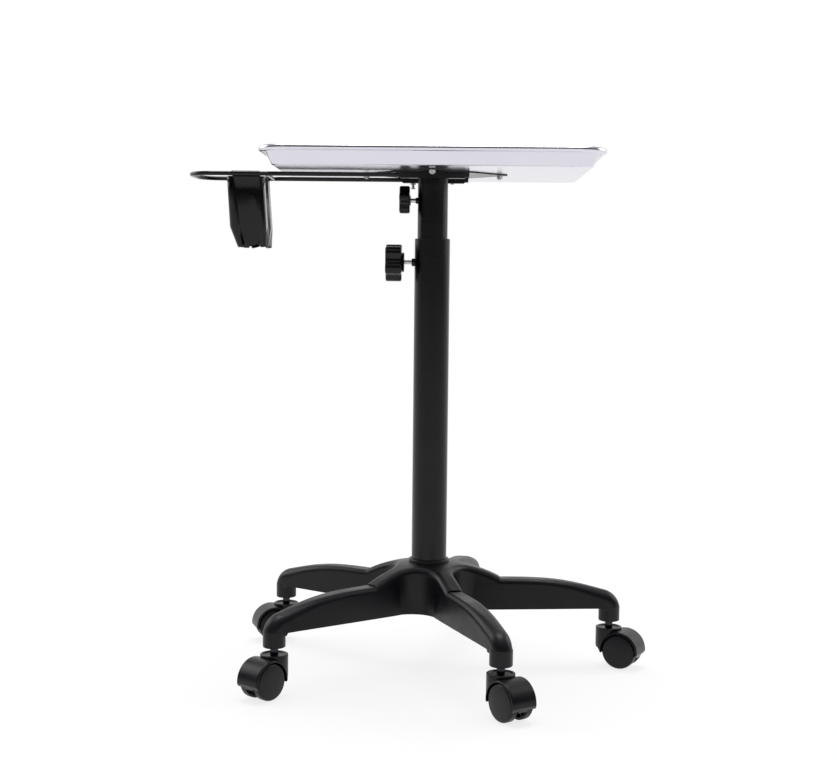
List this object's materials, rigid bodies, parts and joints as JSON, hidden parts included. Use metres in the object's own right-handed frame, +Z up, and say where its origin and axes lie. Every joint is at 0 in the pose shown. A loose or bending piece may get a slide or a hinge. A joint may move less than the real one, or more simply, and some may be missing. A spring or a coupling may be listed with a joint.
{
  "type": "rolling service tray table",
  "caption": "Height-adjustable rolling tray table: sheet tray on a telescopic post, star base on twin-wheel casters, sliding wire holder with a holster.",
  "frame": {"origin": "on the floor, under the middle of the whole table's bounding box; the post's axis stands at x = 0.0131 m, y = -0.0044 m", "axes": "+Z up along the post, X along the tray's long side with the wire holder towards -X, -Y towards the side that the picture shows"},
  "size_m": [0.6498, 0.5938, 0.7224],
  "materials": {
    "moulded_nylon": "satin moulded",
    "caster_nylon": "satin moulded",
    "wheel_nylon": "satin moulded",
    "powder_coated_steel": "satin powder coat",
    "gloss_coated_rod": "gloss powder coat",
    "zinc_plated_steel": "bright zinc",
    "tray_aluminium": "satin rolled",
    "knob_plastic": "satin moulded",
    "plain_black_plastic": "matt moulded",
    "holster_plastic": "gloss moulded"
  },
  "bodies": {
    "root": {"star_base": "moulded_nylon", "base_collar": "moulded_nylon", "outer_tube": "powder_coated_steel", "tube_foot_plug": "zinc_plated_steel", "base_washer": "zinc_plated_steel", "base_bolt": "zinc_plated_steel", "guide_bush": "plain_black_plastic", "lower_clamp_boss": "powder_coated_steel", "grip_rings": "zinc_plated_steel", "stem_sleeves": "zinc_plated_steel"},
    "mast": {"inner_tube": "powder_coated_steel", "inner_tube_glide": "plain_black_plastic", "upper_clamp_boss": "powder_coated_steel"},
    "head": {"head_spigot": "powder_coated_steel", "tray_plate": "powder_coated_steel", "near_rod_channel": "powder_coated_steel", "far_rod_channel": "powder_coated_steel", "clamp_nut": "zinc_plated_steel", "guide_screw": "zinc_plated_steel", "tray": "tray_aluminium", "rim_wire": "zinc_plated_steel", "tray_bolts": "zinc_plated_steel", "tray_nuts": "zinc_plated_steel"},
    "holder": {"holder_rod": "gloss_coated_rod", "rod_end_caps": "plain_black_plastic", "hoop_cross_bar": "gloss_coated_rod", "holster": "holster_plastic"},
    "rod_clamp": {"clamp_screw": "zinc_plated_steel"},
    "lower_clamp": {"lower_knob": "knob_plastic", "lower_stud": "zinc_plated_steel"},
    "upper_clamp": {"upper_knob": "knob_plastic", "upper_stud": "zinc_plated_steel"},
    "caster_1": {"caster_1_housing": "caster_nylon", "caster_1_stem": "zinc_plated_steel", "caster_1_axle": "zinc_plated_steel"},
    "caster_1_left_wheel": {"caster_1_left_wheel": "wheel_nylon"},
    "caster_1_right_wheel": {"caster_1_right_wheel": "wheel_nylon"},
    "caster_2": {"caster_2_housing": "caster_nylon", "caster_2_stem": "zinc_plated_steel", "caster_2_axle": "zinc_plated_steel"},
    "caster_2_left_wheel": {"caster_2_left_wheel": "wheel_nylon"},
    "caster_2_right_wheel": {"caster_2_right_wheel": "wheel_nylon"},
    "caster_3": {"caster_3_housing": "caster_nylon", "caster_3_stem": "zinc_plated_steel", "caster_3_axle": "zinc_plated_steel"},
    "caster_3_left_wheel": {"caster_3_left_wheel": "wheel_nylon"},
    "caster_3_right_wheel": {"caster_3_right_wheel": "wheel_nylon"},
    "caster_4": {"caster_4_housing": "caster_nylon", "caster_4_stem": "zinc_plated_steel", "caster_4_axle": "zinc_plated_steel"},
    "caster_4_left_wheel": {"caster_4_left_wheel": "wheel_nylon"},
    "caster_4_right_wheel": {"caster_4_right_wheel": "wheel_nylon"},
    "caster_5": {"caster_5_housing": "caster_nylon", "caster_5_stem": "zinc_plated_steel", "caster_5_axle": "zinc_plated_steel"},
    "caster_5_left_wheel": {"caster_5_left_wheel": "wheel_nylon"},
    "caster_5_right_wheel": {"caster_5_right_wheel": "wheel_nylon"}
  },
  "joints": [
    {"name": "mast_height", "type": "slide", "parent": "root", "child": "mast", "axis": [0, 0, 1], "range_m": [-0.03, 0.25]},
    {"name": "tray_swivel", "type": "hinge", "parent": "mast", "child": "head", "pos_m": [0.01314, -0.00441, 0.662], "axis": [0, 0, 1], "continuous": true},
    {"name": "holder_slide", "type": "slide", "parent": "head", "child": "holder", "axis": [1, 0, 0], "range_m": [-0.04, 0.1]},
    {"name": "rod_clamp_turn", "type": "hinge", "parent": "head", "child": "rod_clamp", "pos_m": [-0.01586, 0.04559, 0.685], "axis": [0, 0, -1], "range_deg": [0, 720]},
    {"name": "lower_knob_turn", "type": "hinge", "parent": "root", "child": "lower_clamp", "pos_m": [-0.01686, -0.00441, 0.574], "axis": [-1, 0, 0], "range_deg": [0, 720]},
    {"name": "upper_knob_turn", "type": "hinge", "parent": "mast", "child": "upper_clamp", "pos_m": [-0.01186, -0.00441, 0.66], "axis": [-1, 0, 0], "range_deg": [0, 720]},
    {"name": "caster_1_swivel", "type": "hinge", "parent": "root", "child": "caster_1", "pos_m": [0.27266, 0.01146, 0.072], "axis": [0, 0, 1], "continuous": true},
    {"name": "caster_1_left_roll", "type": "hinge", "parent": "caster_1", "child": "caster_1_left_wheel", "pos_m": [0.28501, -0.01055, 0.0245], "axis": [0.454, 0.891, 0], "continuous": true},
    {"name": "caster_1_right_roll", "type": "hinge", "parent": "caster_1", "child": "caster_1_right_wheel", "pos_m": [0.29773, 0.0144, 0.0245], "axis": [0.454, 0.891, 0], "continuous": true},
    {"name": "caster_2_swivel", "type": "hinge", "parent": "root", "child": "caster_2", "pos_m": [0.07824, 0.2473, 0.072], "axis": [0, 0, 1], "continuous": true},
    {"name": "caster_2_left_roll", "type": "hinge", "parent": "caster_2", "child": "caster_2_left_wheel", "pos_m": [0.09224, 0.2683, 0.0245], "axis": [-1, 0, 0], "continuous": true},
    {"name": "caster_2_right_roll", "type": "hinge", "parent": "caster_2", "child": "caster_2_right_wheel", "pos_m": [0.06424, 0.2683, 0.0245], "axis": [-1, 0, 0], "continuous": true},
    {"name": "caster_3_swivel", "type": "hinge", "parent": "root", "child": "caster_3", "pos_m": [-0.20614, 0.13528, 0.072], "axis": [0, 0, 1], "continuous": true},
    {"name": "caster_3_left_roll", "type": "hinge", "parent": "caster_3", "child": "caster_3_left_wheel", "pos_m": [-0.2307, 0.14108, 0.0245], "axis": [0.3486, -0.9373, 0], "continuous": true},
    {"name": "caster_3_right_roll", "type": "hinge", "parent": "caster_3", "child": "caster_3_right_wheel", "pos_m": [-0.22094, 0.11484, 0.0245], "axis": [0.3486, -0.9373, 0], "continuous": true},
    {"name": "caster_4_swivel", "type": "hinge", "parent": "root", "child": "caster_4", "pos_m": [-0.18748, -0.16979, 0.072], "axis": [0, 0, 1], "continuous": true},
    {"name": "caster_4_left_roll", "type": "hinge", "parent": "caster_4", "child": "caster_4_left_wheel", "pos_m": [-0.21158, -0.1773, 0.0245], "axis": [0.7771, -0.6293, 0], "continuous": true},
    {"name": "caster_4_right_roll", "type": "hinge", "parent": "caster_4", "child": "caster_4_right_wheel", "pos_m": [-0.18982, -0.19492, 0.0245], "axis": [0.7771, -0.6293, 0], "continuous": true},
    {"name": "caster_5_swivel", "type": "hinge", "parent": "root", "child": "caster_5", "pos_m": [0.10843, -0.24632, 0.072], "axis": [0, 0, 1], "continuous": true},
    {"name": "caster_5_left_roll", "type": "hinge", "parent": "caster_5", "child": "caster_5_left_wheel", "pos_m": [0.10945, -0.27154, 0.0245], "axis": [0.809, 0.5878, 0], "continuous": true},
    {"name": "caster_5_right_roll", "type": "hinge", "parent": "caster_5", "child": "caster_5_right_wheel", "pos_m": [0.1321, -0.25508, 0.0245], "axis": [0.809, 0.5878, 0], "continuous": true}
  ]
}
